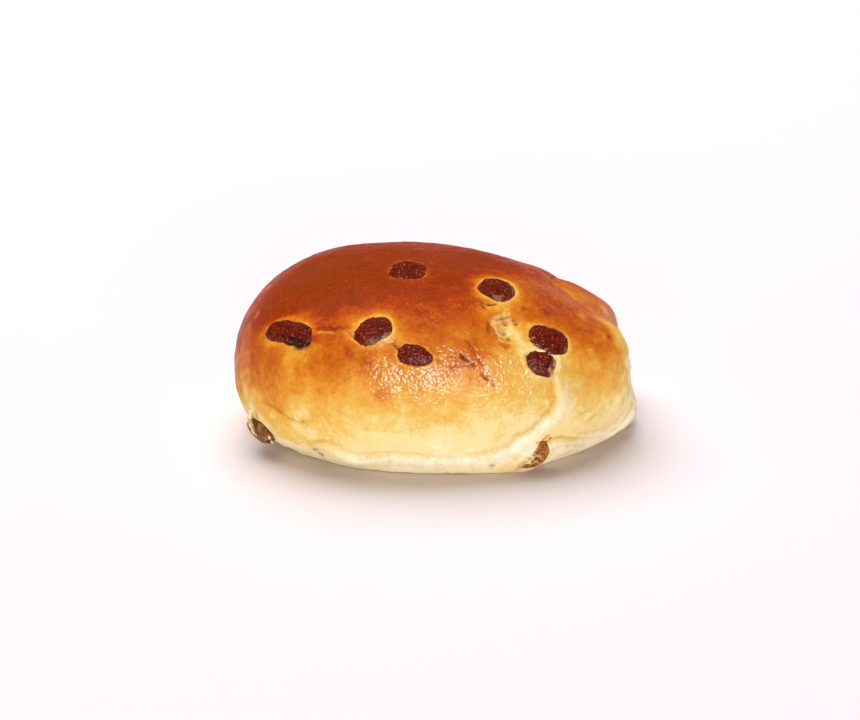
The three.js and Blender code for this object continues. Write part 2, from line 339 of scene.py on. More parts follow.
# Raisins that show lie in pockets of the crust. At is the place, and turn the angle of the
# raisin's length from the bun's in degrees. Size is the whole raisin's length, width and thickness,
# proud how far its crown stands out, point how much narrower one end is, square how far its outline
# is from an ellipse towards a rectangle, and bend how far its middle lies off the line of its ends.
# Halo is how much paler the crust round it stayed.
POCKET_WORDS = ("at", "turn", "size", "proud", "point", "square", "halo")
POCKETS = {
    "raisin_top": ((-7.2, -10.2, 48), 80, (13.6, 10.8, 4.4), 0.9, 0.08, 2.6, 0.08),
    "raisin_top_right": ((16.3, -14.6, 44), 66, (13.6, 11.3, 4.4), 0.9, 0, 2.4, 0.3),
    "raisin_left": ((-38.3, -26.3, 36.4), -24, (16, 7.2, 4.6), 1, 0, 2.6, 0.3),
    "raisin_front": ((-15.8, -32.9, 39.3), 26, (11.3, 8.2, 4.2), 0.9, 0, 2.4, 0.3),
    "raisin_middle": ((-5, -37.3, 34), -12, (11, 6.6, 4.2), 0.9, 0.2, 2.2, 0.04),
    "raisin_right": ((29.7, -26.4, 34.1), -6, (12.8, 9.2, 4.4), 1, 0.06, 2.6, 0.12),
    "raisin_right_low": ((27.2, -31.7, 29.8), -10, (9.7, 7.9, 4.2), 0.9, 0, 2.3, 0.18),
    "raisin_left_foot": ((-45.6, -22, 7.2), 66, (12.4, 8.4, 5.6), 2.6, 0.1, 2.4, 0.1),
    "raisin_front_foot": ((26.1, -33.5, 4.5), 45, (12, 7, 4.4), 0.9, 0, 2.4, 0),
    "raisin_back_left": ((-24, 30, 34), 35, (12, 9, 4.4), 0.9, 0.1, 2.4, 0.25),
    "raisin_back_middle": ((2, 37, 28), -20, (11, 8.4, 4.4), 0.9, 0, 2.3, 0.2),
    "raisin_back_right": ((24, 29, 31), 12, (12.6, 9.2, 4.4), 0.9, 0, 2.5, 0.25),
    "raisin_back_low": ((-36, 32, 19), 50, (10.4, 8, 4.4), 1, 0.15, 2.3, 0.2),
}
POCKETS = {name: dict(zip(POCKET_WORDS, row)) for name, row in POCKETS.items()}
POCKETS["raisin_front_foot"]["bend"] = -4
POCKET_REACH = 16
POCKET_DEPTH = 1.7
POCKET_EDGE = 0.2
POCKET_WALL = 0.9
RIM_AWAY = 0.3
RIM_HEIGHT = 0.3
RIM_WIDTH = 0.8
HALO_BELOW = 2.6
HALO_ABOVE = 1.7
PALE_RIM = 0.1
PALE_RIM_WIDTH = 0.5
BEND_MIDDLE = 0.4
WAVES = ((3, 1, 0.03), (5, 2, 0.02))


def raisin_axes(pocket):
    """The raisin's middle, then the directions along it, across it and out of the crust."""
    place = onto_dough(pocket["at"])
    out = outward_at(place)[0]
    level = unit(np.array((1, 0, 0)) - out[0] * out)
    turn = math.radians(pocket["turn"])
    along = level * math.cos(turn) + np.cross(out, level) * math.sin(turn)
    middle = place[0] + out * (pocket["proud"] - pocket["size"][2] / 2)
    return middle, along, np.cross(out, along), out


def wavy(x, y, seed):
    """How much further out the raisin's outline is than a smooth one, as a factor."""
    angle = np.arctan2(y, x)
    return 1 + sum(part * np.sin(count * angle + turn * seed) for count, turn, part in WAVES)


def bent(share, pocket):
    """How far a bent raisin's middle line lies to its left, at a share of its half length."""
    return pocket.get("bend", 0) * (BEND_MIDDLE - share**2)


def raisin_outline(x, y, pocket, seed):
    """1 on the raisin's widest outline, less inside it. X and y are along and across it."""
    half_length = pocket["size"][0] / 2
    y = y - bent(x / half_length, pocket)
    half_width = pocket["size"][1] / 2 * (1 - pocket["point"] * np.clip(x / half_length, -1, 1))
    n = pocket["square"]
    share = (np.abs(x / half_length) ** n + np.abs(y / half_width) ** n) ** (1 / n)
    return share / wavy(x, y, seed)


halo = np.zeros(len(plain))
for seed, (name, pocket) in enumerate(POCKETS.items()):
    middle, along, across, out = raisin_axes(pocket)
    offset = plain - middle
    near = np.flatnonzero(np.linalg.norm(offset, axis=1) < POCKET_REACH)
    x = offset[near] @ along
    y = offset[near] @ across
    # The crust closes on the raisin a little above its widest outline.
    crown = 1 - 2 * pocket["proud"] / pocket["size"][2]
    opening = (1 - crown ** pocket["square"]) ** (1 / pocket["square"])
    share = raisin_outline(x / opening, y / opening, pocket, seed)
    edge = (share - 1) * np.hypot(x, y) / np.maximum(share, 0.05)
    relief[near] -= POCKET_DEPTH * smooth(-edge, POCKET_EDGE, POCKET_WALL)
    relief[near] += RIM_HEIGHT * bell((edge - RIM_AWAY) / RIM_WIDTH)
    downhill = -(offset[near] - np.outer(offset[near] @ out, out))[:, 2]
    spread = np.where(downhill > 0, HALO_BELOW, HALO_ABOVE)
    halo[near] += pocket["halo"] * np.exp(-np.maximum(edge, 0) / spread)
    uneven = 0.4 + 1.2 * lumps(plain[near], 3, 2, 16)
    halo[near] += PALE_RIM * np.clip(uneven, 0, 1) * bell(edge / PALE_RIM_WIDTH)

# The crust is never even: the dough rose in broad lumps and smaller ones, and its skin has the
# fine pitting of orange peel from the egg wash and the bubbles under it. Three swellings and
# hollows at the right, as place, reach and height, are where it pushed against the next bun.
BROAD_LUMPS = 0.35
SMALL_LUMPS = 0.12
PEEL_LUMPS = 0.045
SIDE_SWELLINGS = [
    ((47.7, 0.7, 30.5), 6, -0.9), ((51, -9, 25), 9, 0.9), ((39, 17, 36), 6, 0.8),
]
height_up = plain[:, 2]
relief += BROAD_LUMPS * lumps(plain, 18, 2, 1)
for place, reach, height in SIDE_SWELLINGS:
    relief += height * bell(away_from(place, plain) / reach)
relief += SMALL_LUMPS * lumps(plain, 5, 2, 2)
peel = smooth(height_up, 10, 22)
relief += PEEL_LUMPS * peel * lumps(plain, 1.2, 2, 3)

# The foot's skin is dull and lumpy where it lay against the tray's paper. Its upper edge wanders
# between two heights.
FOOT_EDGE = (5.5, 7.5)
FOOT_LUMPS = 0.34
foot_band = 1 - smooth(height_up + 0.8 * lumps(plain, 4, 2, 7), *FOOT_EDGE)
relief += FOOT_LUMPS * foot_band * smooth(height_up, 0, 1.5) * lumps(plain, 3.2, 4, 4)

# The right end is torn: it baked against the next bun, and shows stringy crumb wherever the dough
# faces straight to the right, up to the height at which the two buns parted.
TORN_FACING = (0.925, 0.985)
TORN_START = (2, 5)
TORN_END_HEIGHT = (22, 28)
TORN_STRINGS = 0.9
TORN_DEPTH = 0.3
torn = smooth(outward[:, 0] + 0.06 * lumps(plain, 4, 4, 8), *TORN_FACING)
torn *= smooth(height_up, *TORN_START) * (1 - smooth(height_up, *TORN_END_HEIGHT))
relief += torn * (TORN_STRINGS * lumps(plain, 2.2, 4, 5) - TORN_DEPTH)

# Slits, pits and scratches of the crust. Each has its places, how far it reaches to each side,
# how deep it is, how dark it is, and how much browner the crust is along it. In the gaps, creases,
# folds and pits the dark is painted shade, and in the rest it is a stain.
MARKS = [
    # slits between the middle and right raisins, and a scorched line over them
    ([(6.2, -36, 34.1), (7.4, -36.9, 32.9), (8.8, -37, 32.2)], 0.5, 0.3, 0.95, 0.12),
    ([(9, -37.2, 31.7), (10, -37.4, 31.2)], 0.45, 0.3, 0.6, 0.12),
    ([(11.6, -37.8, 29.6), (12.4, -38.1, 28.3), (14.2, -38.1, 27.5)], 0.5, 0.3, 0.8, 0.12),
    ([(14.6, -38.3, 26.5), (15.2, -38.2, 26.1)], 0.45, 0.3, 0.5, 0.1),
    ([(7.6, -33.5, 37), (10.1, -35.6, 33.8), (12.7, -37.3, 30.1), (15.5, -38.5, 25.6)],
     0.6, 0.1, 0, 0.1),
    # the end of the fold on the left, and a pit past it, both painted dark as their shade
    ([(-38.2, -34.4, 15.9), (-36.5, -35.4, 15.4), (-35.3, -36.1, 15.2)], 0.45, 0.1, 0.35, 0),
    ([(-34.2, -36.8, 15.7)], 0.45, 0.3, 0.8, 0),
    # the slit and the pit in the foot on the left
    ([(-30.9, -33.7, 6.4), (-29.8, -31.4, 3.5), (-28.6, -29.2, 0.4)], 0.8, 0.9, 1, 0),
    ([(-31.8, -32.8, 5.8)], 0.7, 0.5, 1, 0),
    # the line from the left raisin to the front one
    ([(-31.3, -29.2, 38.3), (-26.6, -30.5, 39), (-21.9, -31.3, 39.6)], 0.7, 0.1, 0, 0.12),
    ([(-31, -30.3, 37.6), (-28.7, -30.8, 38), (-26, -31.8, 38.1)], 0.4, -0.12, 0, -0.15),
    # slits at the edges of the front raisin, and one on to the middle raisin
    ([(-22.4, -32.2, 38.7), (-21.1, -33.7, 37.7), (-19.3, -35, 36.7)], 0.5, 0.5, 0.6, -0.1),
    ([(-11, -35.5, 36.9), (-10.1, -36.2, 36), (-9, -36.8, 35.2)], 0.45, 0.4, 0.7, 0.05),
    # the dark gap under the left raisin, painted as its shadow
    ([(-38.7, -28.5, 34.2), (-36.2, -30.5, 34.1), (-33.8, -31.5, 34.7), (-32, -31.2, 36)],
     0.9, 0.7, 1, 0),
    # slits under the raisin at the top right
    ([(11.7, -21.4, 43.3), (13.4, -22.1, 42.6), (15.8, -21.3, 42.3)], 0.6, 0.5, 0.85, 0),
    ([(11.9, -23, 42.7), (12.7, -24, 42.1)], 0.4, 0.2, 0.2, 0.2),
    ([(17.4, -22.4, 41.3)], 0.7, 0.2, 0.35, 0),
    # the edges of the torn window
    ([(16.3, -26, 39.9), (18.1, -24.7, 40), (19.9, -23.7, 39.8)], 0.45, 0.3, 0.7, 0),
    ([(14.1, -27.5, 39.7), (13.5, -29.7, 38.5), (14.3, -30.8, 37.2)], 0.45, 0.2, 0.25, 0.14),
    ([(16.6, -31.9, 35.4), (17.9, -32.3, 34.6), (19.2, -31.8, 34.4)], 0.9, 0.1, 0.12, 0.1),
    # the shaded crevice left of the low raisin on the right
    ([(23.2, -31.7, 32.2), (23.8, -32.9, 30.6), (24.3, -33.6, 29.2)], 0.6, 0.5, 0.55, 0),
    # the crack that the raisin in the foot shows through
    ([(26.3, -35.6, 9.4), (27.6, -35.2, 10.2), (29.4, -34.4, 11.2)], 0.45, 0.7, 0.7, 0),
    # dark red flecks, and specks of raisin under the skin
    ([(23, -19.7, 40.4)], 0.8, 0.1, 0.1, 0.14),
    ([(29.6, -15.8, 38.9), (31.2, -15.4, 38.5)], 0.8, 0.15, 0.1, 0.16),
    ([(29.1, -18.2, 38.4)], 0.7, 0.1, 0.1, 0.16),
    ([(24.6, 2.4, 42.6), (26.2, 1.2, 42.2)], 0.8, 0.15, 0.25, 0.2),
    ([(22.3, 4.4, 43.4)], 0.8, 0.1, 0.15, 0.2),
    ([(45.8, -16.2, 31)], 0.9, 0, 0.1, 0.16),
    ([(-11.8, -38.6, 5.8)], 0.5, 0.1, 0.35, 0.1),
    ([(14.8, -36.5, 3.2)], 0.5, 0.1, 0.55, 0.2),
    ([(47.9, -20.6, 19.3)], 0.4, 0.1, 0.4, 0),
    ([(21.3, -35.7, 4.8)], 0.5, 0.1, 0.3, 0.1),
    ([(25.9, -36.7, 18)], 0.45, 0.1, 0.35, 0),
    # thin skin over the raisin in the left foot
    ([(-47.4, -25.2, 13), (-46.9, -25.1, 11.7)], 1.2, 0, 0.14, 0.2),
    ([(-48, -24.8, 13.4), (-47.2, -25.2, 13.4), (-46.2, -25.8, 13)], 0.45, 0.2, 0.3, 0.1),
    # the wet stain beside the raisin in the front foot
    ([(22.6, -34.6, 2.2), (21.2, -35, 1.4)], 1.1, 0, 0.3, 0.25),
    # the fold in the foot under the right lobe, which starts in a pit
    ([(29.1, -34.6, 10.8), (30.5, -33.6, 9.6), (32.7, -32.2, 9.2), (35.5, -29.8, 7.8),
      (39.8, -25, 5.6), (43.7, -20.7, 4.6)], 0.4, 0.4, 0.42, 0.08),
    ([(30.1, -33.5, 9.2)], 0.55, 0.6, 0.8, 0.1),
    # a low fold in the foot under the right lobe, and fine lines above it
    ([(32.3, -30.7, 5.8), (35.6, -28.2, 5.6), (40, -23.5, 2.9)], 0.5, 0.5, 0.3, 0.02),
    ([(35.5, -30.8, 13.4), (38.6, -28.7, 14.6), (42.4, -25.4, 15.8)], 0.4, 0.25, 0.14, 0.02),
    ([(39, -27.5, 11.5), (43, -24.2, 13), (46, -21.6, 14.8)], 0.4, 0.25, 0.14, 0.02),
    ([(36.7, -29.1, 9.4), (41.6, -24.2, 7.6), (46, -19.4, 6.7)], 0.4, 0.3, 0.2, 0.02),
    # the edge of the rounded lip at the right end, with a line of painted shade along it
    ([(48.5, -17.5, 7), (50.4, -15, 8.3), (52.2, -12.1, 10)], 0.5, 0.4, 0.12, 0.02),
    # the sharp edge of the valley at the top right, painted paler along it as a sheen
    ([(29.8, 11.7, 40.1), (33.5, 7.6, 38.6), (36.9, 4.4, 36.7), (38.6, 1, 35.6)], 1.8, 0.3, 0, -0.1),
]
MARK_STEPS = 40
MARK_TAPER = 0.6
MARK_RAGGED = 1.2
MARK_NARROWEST = 0.3
stain = np.clip(fold_crease_shade, 0, 1)
mark_bake_light_and_shade = np.zeros(len(plain))
for places, reach, deep, dark, browner in MARKS:
    rough = smooth_path(places, MARK_STEPS)[0] if len(places) > 1 else np.array(places)
    line = onto_dough(rough)
    around = line.mean(0)
    extent = away_from(around, line).max() + 4 * reach
    near = np.flatnonzero(away_from(around, plain) < extent)
    nearest, away = nearest_on(line, plain[near])
    along = nearest / max(len(line) - 1, 1)
    taper = 1 - MARK_TAPER * np.abs(2 * along - 1) ** 2 if len(line) > 1 else 1
    uneven = np.maximum(1 + lumps(plain[near], MARK_RAGGED, 3, 9), MARK_NARROWEST)
    close = bell(away / (reach * taper * uneven))
    relief[near] -= deep * close
    stain[near] = np.maximum(stain[near], dark * close)
    mark_bake_light_and_shade[near] += browner * close

# Where the dough pulled apart under the skin it left a torn window with open, spongy crumb. It is
# placed in the way of a pocket. Each hole in it has a place and how far it reaches.
WINDOW = {"at": (17.3, -27.6, 38.6), "turn": 75, "size": (9, 6.6, 2), "proud": 0}
HOLES = [
    ((18.3, -26.4, 38.9), 0.7), ((20.4, -24.8, 39.1), 0.5), ((21.1, -25.5, 38.4), 0.6),
    ((18, -29.2, 37.2), 0.7), ((18.8, -30.3, 35.9), 0.8), ((16, -30.2, 37.1), 0.4),
    ((16.7, -29.1, 37.8), 0.4), ((17.3, -30.6, 36.2), 0.5), ((15.3, -29.2, 38.2), 0.3),
]
WINDOW_DEPTH = 0.5
WINDOW_THICKNESS = 5
WINDOW_EDGE = (0.8, 1.06)
WINDOW_RAGGED = 0.3
WINDOW_LUMPS = 0.2
WINDOW_PALER = 0.16
WINDOW_CRUMB = 0.12
WINDOW_STAIN = 0.34
HOLE_DEPTH = 0.7
HOLE_STAIN = 0.75
TORN_STAIN = 0.22
middle, along, across, out = raisin_axes(WINDOW)
offset = plain - middle
span = np.hypot(offset @ along / WINDOW["size"][0], offset @ across / WINDOW["size"][1]) * 2
span += WINDOW_RAGGED * lumps(plain, 2.6, 3, 10) + 5 * (np.abs(offset @ out) > WINDOW_THICKNESS)
crumb = 1 - smooth(span, *WINDOW_EDGE)
relief -= WINDOW_DEPTH * crumb
relief += WINDOW_LUMPS * crumb * lumps(plain, 1.1, 2, 11)
mark_bake_light_and_shade -= WINDOW_PALER * crumb
stain = np.maximum(stain, WINDOW_STAIN * crumb * smooth(lumps(plain, 1.6, 3, 13), 0, 0.4))
for hole, reach in HOLES:
    close = bell(away_from(onto_dough(hole), plain) / reach)
    relief -= HOLE_DEPTH * close
    stain = np.maximum(stain, HOLE_STAIN * close)
stain = np.maximum(stain, TORN_STAIN * torn * smooth(lumps(plain, 1.3, 3, 17), 0.1, 0.4))
crumb = np.maximum(WINDOW_CRUMB * crumb, torn)

# Browner and paler places of the crust: each has its place, how far it reaches and how much browner
# it is. Their edges are ragged. Two at the right are painted light and shade, as marked below.
PATCHES = [
    # the top
    ((15.5, -22.8, 41.8), 2.6, -0.1), ((13.1, -25.6, 41.1), 2.4, -0.06),
    ((17.6, -23.3, 40.8), 2.4, -0.12), ((17.8, -24.3, 40.4), 2.6, 0.12),
    ((-33.9, -24.3, 40.4), 5, -0.06), ((12.3, -15.1, 44.9), 3, 0.08), ((18, -27.1, 38.6), 2.4, 0.06),
    ((9.4, 1.9, 46.2), 14, 0.06), ((-21.5, -29, 40.5), 4, -0.08),
    # the left side
    ((-37, -32, 31.5), 4, -0.12), ((-34.9, -36.6, 18.2), 4, -0.16), ((-48.5, -24, 14.4), 6, -0.24),
    ((-51, 7.9, 33.2), 8, -0.16), ((-51, -16, 27), 9, -0.08), ((-45, 12, 38), 11, -0.14),
    ((-36.5, -35.6, 15), 1.6, -0.12), ((-34.4, -30.7, 35.3), 1.6, 0.15),
    ((-50.5, -16, 28.9), 7, -0.08), ((-47, -5, 37), 9, -0.1),
    # the front, left of the middle
    ((-19.3, -35.7, 35.8), 4, 0.12), ((-30.4, -29, 35.5), 2, 0.2), ((0.4, -41.8, 12.6), 2.5, -0.1),
    ((-12.9, -41.6, 23.5), 3, 0.14), ((-4, -40.5, 27.5), 8, 0.05), ((-16.2, -39.2, 30.8), 4, 0.06),
    ((-2, -41.5, 17), 4, 0.05), ((-26, -37.5, 31), 5, 0.06),
    # the front, right of the middle, and round the torn window
    ((20.6, -27.4, 37.3), 2.8, -0.2), ((21.6, -29.8, 35), 2.8, -0.2),
    ((22.4, -31.6, 32.8), 2.8, -0.14), ((16.2, -35.6, 31), 4, -0.08), ((8, -37, 32), 6, 0.03),
    ((23.8, -34.2, 28.9), 2.4, 0.05), ((13.5, -38.4, 27.2), 3, 0.04), ((2.4, -39.6, 29.6), 5, 0.05),
    ((9, -36.5, 31.5), 4, 0.08),
    # the roll along the fold, and the foot under it
    ((24.9, -37, 20.3), 5, 0.05), ((4, -41.5, 19), 3, 0.07), ((26, -36.5, 13.5), 5, -0.08),
    ((21, -38, 10.5), 5, -0.08),
    # the right side
    # the first place on the next line is painted light on the rounded lip at the right end
    ((53, -10, 5), 5, -0.1), ((32.6, -33.4, 17.4), 4, -0.16), ((33.4, -31.8, 24.1), 3, -0.06),
    ((51.3, -13.4, 8), 4, -0.08), ((54, -6, 8), 6, -0.25), ((53, -8, 24), 8, -0.3),
    ((51, -10, 32), 6, -0.17), ((46, -19, 13), 6, -0.1), ((36.6, -27.1, 29.5), 5, -0.08),
    ((50.4, -16.8, 18.6), 4, -0.1), ((46.6, -20.6, 27), 5, -0.06), ((44.7, 8.8, 32.9), 4, -0.05),
    ((47.3, -4.2, 31.1), 3, 0.04), ((48, -12.5, 30.5), 3, 0.03), ((36.8, 11.2, 36.7), 4, -0.08),
    # the second place on the next line is painted shade on the flap under the fold of the foot's lip
    ((36.6, -29.8, 11.4), 4, -0.05), ((35, -29.8, 8.5), 3, 0.05), ((39.1, 16.4, 34.6), 8, 0.13),
    ((42, 6, 36), 5, -0.12), ((43.5, -12, 33), 5, 0.06),
]
for place, reach, browner in PATCHES:
    away = away_from(onto_dough(place), plain)
    near = np.flatnonzero(away < 3 * reach)
    ragged = away[near] * (1 + 0.5 * lumps(plain[near], 4, 3, 12))
    mark_bake_light_and_shade[near] += browner * bell(ragged / reach)

shown = plain + outward * relief[:, None] + slide
shown[:, 2] = np.maximum(shown[:, 2], 0)

# The bun's own box is set in the middle of the CAD dough's.
cad_low, cad_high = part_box("dough")
cad_middle = np.array((cad_low + cad_high) / 2) * 1000
shift = cad_middle - (shown.min(0) + shown.max(0)) / 2
shift[2] = 0


def mesh_piece(name, places, faces, finish):
    """A smooth-shaded piece from places in millimetres."""
    mesh = bpy.data.meshes.new(name)
    mesh.from_pydata(((places + shift) / 1000).tolist(), [], faces.tolist())
    mesh.polygons.foreach_set("use_smooth", [True] * len(mesh.polygons))
    mesh.materials.append(finish)
    mesh.update()
    piece = bpy.data.objects.new(name, mesh)
    bpy.context.scene.collection.objects.link(piece)
    return piece


# Browning follows the oven's heat: bake goes from 0, pale, to 1, chestnut. It is strongest on top,
# and the sides that touched other buns and the foot stay pale. Past the darkest the crust would
# only scorch, so it grows slowly there. The bottom edge is painted darker as its shade by the table.
# Each of the foot's darker places has its place, reach and how much darker it is; the lower one, by
# the table, is painted shade as well as stain.
BAKE = 0.085
BAKE_PER_MM_UP = 0.0144
BAKE_FACING_UP = 0.119
BAKE_TO_THE_RIGHT = (-0.0016, 0.0001)
UNEVEN_BAKE = 0.05
UNBAKED = 0.08
UNBAKED_SHARE = 0.8
BOTTOM_EDGE_SHADE = 0.06
DARKEST = 0.88
PAST_DARKEST = 0.3
FOOT_DARKER_PLACES = [((19.8, -35.2, 1.8), 4, 0.13), ((27.4, -35, 9), 2.4, 0.08)]
bake = BAKE + BAKE_PER_MM_UP * height_up + BAKE_FACING_UP * outward[:, 2]
bake += BAKE_TO_THE_RIGHT[0] * plain[:, 0] + BAKE_TO_THE_RIGHT[1] * plain[:, 0] ** 2
bake += UNEVEN_BAKE * lumps(plain, 14, 3, 6)
# The folds and marks bring painted light and shade in with their browning.
bake += mark_bake_light_and_shade - halo + fold_browning_shade_and_light
bake += (UNBAKED - bake) * np.maximum(foot_band, torn) * UNBAKED_SHARE
bake += BOTTOM_EDGE_SHADE * (1 - smooth(height_up, 1, 5))
for place, reach, browner in FOOT_DARKER_PLACES:
    bake += browner * bell(away_from(onto_dough(place), plain) / reach)
bake = np.where(bake > DARKEST, DARKEST + PAST_DARKEST * (bake - DARKEST), bake)

# Where the egg wash ran together the glaze is thicker and shinier: place and reach. It missed one
# dull place, and none reached the foot but for a few wet places low down.
GLAZED = [
    ((-4, -41, 26.6), 8), ((-11, -40.2, 29), 6), ((15, -37, 29.4), 5.2), ((18, -35, 32), 5),
    ((10, -34, 35.7), 5), ((1.2, -35.4, 36.2), 5), ((32.2, -33, 23.4), 4), ((24, -35.4, 24), 5),
    ((22, -38, 13.5), 3),
]
GLAZE = 0.16
GLAZE_UNEVEN = 0.16
GLAZED_MORE = 0.8
GLAZE_START = (8, 20)
DULL_PLACE = (8.6, -38.8, 29)
DULL_REACH = 3.2
DULL_SHARE = 0.9
LOW_GLAZED = [((31.3, -34.1, 17.7), 3), ((52.4, -11.4, 8.4), 2.2), ((27.5, -36.4, 15.5), 2)]
glaze = GLAZE + GLAZE_UNEVEN * lumps(plain, 9, 2, 14)
ragged = 1 + 0.5 * lumps(plain, 5, 3, 15)
for place, reach in GLAZED:
    glaze += GLAZED_MORE * bell(away_from(place, plain) * ragged / reach)
glaze = np.clip(glaze * smooth(height_up, *GLAZE_START) * (1 - crumb) * (1 - stain), 0, 1)
glaze *= 1 - DULL_SHARE * bell(away_from(onto_dough(DULL_PLACE), plain) / DULL_REACH)
for place, reach in LOW_GLAZED:
    glaze = np.maximum(glaze, bell(away_from(onto_dough(place), plain) / reach))


def linear(code):
    """A colour from its sRGB hex code."""
    parts = [int(code[i : i + 2], 16) / 255 for i in (1, 3, 5)]
    return [p / 12.92 if p <= 0.04045 else ((p + 0.055) / 1.055) ** 2.4 for p in parts] + [1]


def node(tree, kind, inputs=None, stops=None, output=0, **settings):
    """An output of a new node. An input is a value, or another node's output to link to it. Stops
    are the places and colours of a ramp."""
    made = tree.nodes.new("ShaderNode" + kind)
    for name, value in settings.items():
        setattr(made, name, value)
    for socket, value in (inputs or {}).items():
        if isinstance(value, bpy.types.NodeSocket):
            tree.links.new(value, made.inputs[socket])
        else:
            made.inputs[socket].default_value = value
    if stops:
        made.color_ramp.elements.remove(made.color_ramp.elements[0])
    for i, (place, code) in enumerate(stops or []):
        elements = made.color_ramp.elements
        element = elements[0] if i == 0 else elements.new(place)
        element.position = place
        element.color = linear(code)
    return made.outputs[output] if made.outputs else None


def empty_material(name):
    material = bpy.data.materials.new(name)
    material.use_nodes = True
    material.node_tree.nodes.clear()
    return material


def per_metre(millimetres):
    """The scale at which a pattern's cells or lumps are this wide."""
    return 1000 / millimetres


# Egg-glazed bread crust, browned by baking. The glaze is a thin dried film of egg, so it has a
# soft gloss that breaks up into glints on the orange peel, over colours from cream to chestnut.
# The patterns' sizes are widths in millimetres.
CRUST_COLOURS = [
    (0.05, "#fdfcdc"), (0.2, "#f4e0a4"), (0.3, "#f1dd98"), (0.375, "#e9cd76"), (0.46, "#e6b84d"),
    (0.52, "#e5ac47"), (0.6, "#e0972c"), (0.67, "#d07917"), (0.73, "#c36507"), (0.79, "#b54e00"),
    (0.83, "#a63a00"), (0.875, "#913000"), (0.92, "#883100"), (1.0, "#782d00"),
]
# The colour of the glints painted on the crust.
PAINTED_GLINT_COLOUR = "#eea352"
CRUMB_COLOUR = "#fdeecb"
# The colours of stains, and of the painted shade in creases, gaps and pits.
STAIN_AND_SHADE_COLOURS = [(0.0, "#b88a50"), (0.5, "#6e4a22"), (1.0, "#2a1808")]
MOTTLE_SIZE = 2.857
SPECKLE_SIZE = 1.0
GRAIN_SIZE = 0.4545
GLINT_CELL_SIZE = 3.03
DOME_SIZE = 1.111
DOME_HEIGHT = 0.15
DOME_WOBBLE_SIZE = 1.667
DOME_WOBBLE = 1.4
PEEL_SIZE = 0.7143
PEEL_HEIGHT = 0.2
crust = empty_material("egg_glazed_crust")
tree = crust.node_tree
where = node(tree, "TexCoord", output="Object")
browned, glossy, crumby, stain_and_shade_share = (
    node(tree, "Attribute", output="Fac", attribute_name=name)
    for name in ("bake", "glaze", "crumb", "stain")
)
mottle, speckle = (
    node(tree, "TexNoise", {
        "Vector": where, "Scale": per_metre(size), "Detail": 3, "Roughness": 0.6,
    })
    for size in (MOTTLE_SIZE, SPECKLE_SIZE)
)
# The two together vary about 0, so they make as much of the crust browner as paler.
mottled = node(tree, "Math", {0: mottle, 1: 0.28, 2: -0.27}, operation="MULTIPLY_ADD")
speckled = node(tree, "Math", {0: speckle, 1: 0.26, 2: mottled}, operation="MULTIPLY_ADD")
# The colours change slowly where the crust is pale, so its mottling has to be deeper there.
depth = node(tree, "MapRange", {
    "Value": browned, "From Min": 0.45, "From Max": 0.75, "To Min": 0.95, "To Max": 0.65,
})
evened = node(tree, "Math", {0: speckled, 1: depth, 2: browned}, operation="MULTIPLY_ADD")
baked = node(tree, "ValToRGB", {"Fac": evened}, CRUST_COLOURS)

# The well-baked skin has a fine grain of lighter and darker, and all of it has pale dots painted on
# as glints of the glaze, one in each cell of a pattern and about 0.4 mm across.
grain = node(tree, "TexNoise", {"Vector": where, "Scale": per_metre(GRAIN_SIZE), "Detail": 1})
grain_light = node(tree, "MapRange", {
    "Value": grain, "From Min": 0.3, "From Max": 0.7, "To Min": 0.8, "To Max": 1.2,
})
grained = node(tree, "HueSaturation", {"Color": baked, "Value": grain_light})
well_baked = node(tree, "MapRange", {"Value": browned, "From Min": 0.68, "From Max": 0.9})
glint_away = node(tree, "TexVoronoi", {"Vector": where, "Scale": per_metre(GLINT_CELL_SIZE)})
painted_glints = node(tree, "MapRange", {
    "Value": glint_away, "From Min": 0.11, "From Max": 0.03, "To Max": 0.4,
})
# The stain colour is also painted shade where it lies in creases, gaps and pits.
stain_and_shade_colour = node(tree, "ValToRGB", {"Fac": stain_and_shade_share}, STAIN_AND_SHADE_COLOURS)

# A mix node has several sockets of each name, so these are taken by their number.
MIX_BELOW = 6
MIX_ABOVE = 7
MIX_RESULT = 2


def layered(tree, colour, layers):
    """The colour with other colours over it, each as its share and its colour, lowest first."""
    for share, above in layers:
        sockets = {0: share, MIX_BELOW: colour, MIX_ABOVE: above}
        colour = node(tree, "Mix", sockets, output=MIX_RESULT, data_type="RGBA")
    return colour


crust_layers = [
    (well_baked, grained),
    (painted_glints, linear(PAINTED_GLINT_COLOUR)),
    (crumby, linear(CRUMB_COLOUR)),
    (stain_and_shade_share, stain_and_shade_colour),
]

# The peel's finest domes are a millimetre across, and the film of glaze sits on their tops. Real
# ones are finer, and these are drawn as coarse as they need to be to glint one by one.
wobble = node(tree, "TexNoise", {
    "Vector": where, "Scale": per_metre(DOME_WOBBLE_SIZE),
}, output="Color")
moved = node(tree, "VectorMath", {
    0: wobble, 1: (DOME_WOBBLE / 1000,) * 3, 2: where,
}, operation="MULTIPLY_ADD")
away = node(tree, "TexVoronoi", {"Vector": moved, "Scale": per_metre(DOME_SIZE)})
fallen = node(tree, "Math", {0: away, 1: away}, operation="MULTIPLY")
domes = node(tree, "Math", {0: fallen, 1: -1.0}, operation="MULTIPLY")
glaze_bump = node(tree, "Bump", {"Distance": DOME_HEIGHT / 1000, "Height": domes})
peel_noise = node(tree, "TexNoise", {"Vector": where, "Scale": per_metre(PEEL_SIZE)})
crust_bump = node(tree, "Bump", {"Distance": PEEL_HEIGHT / 1000, "Height": peel_noise})
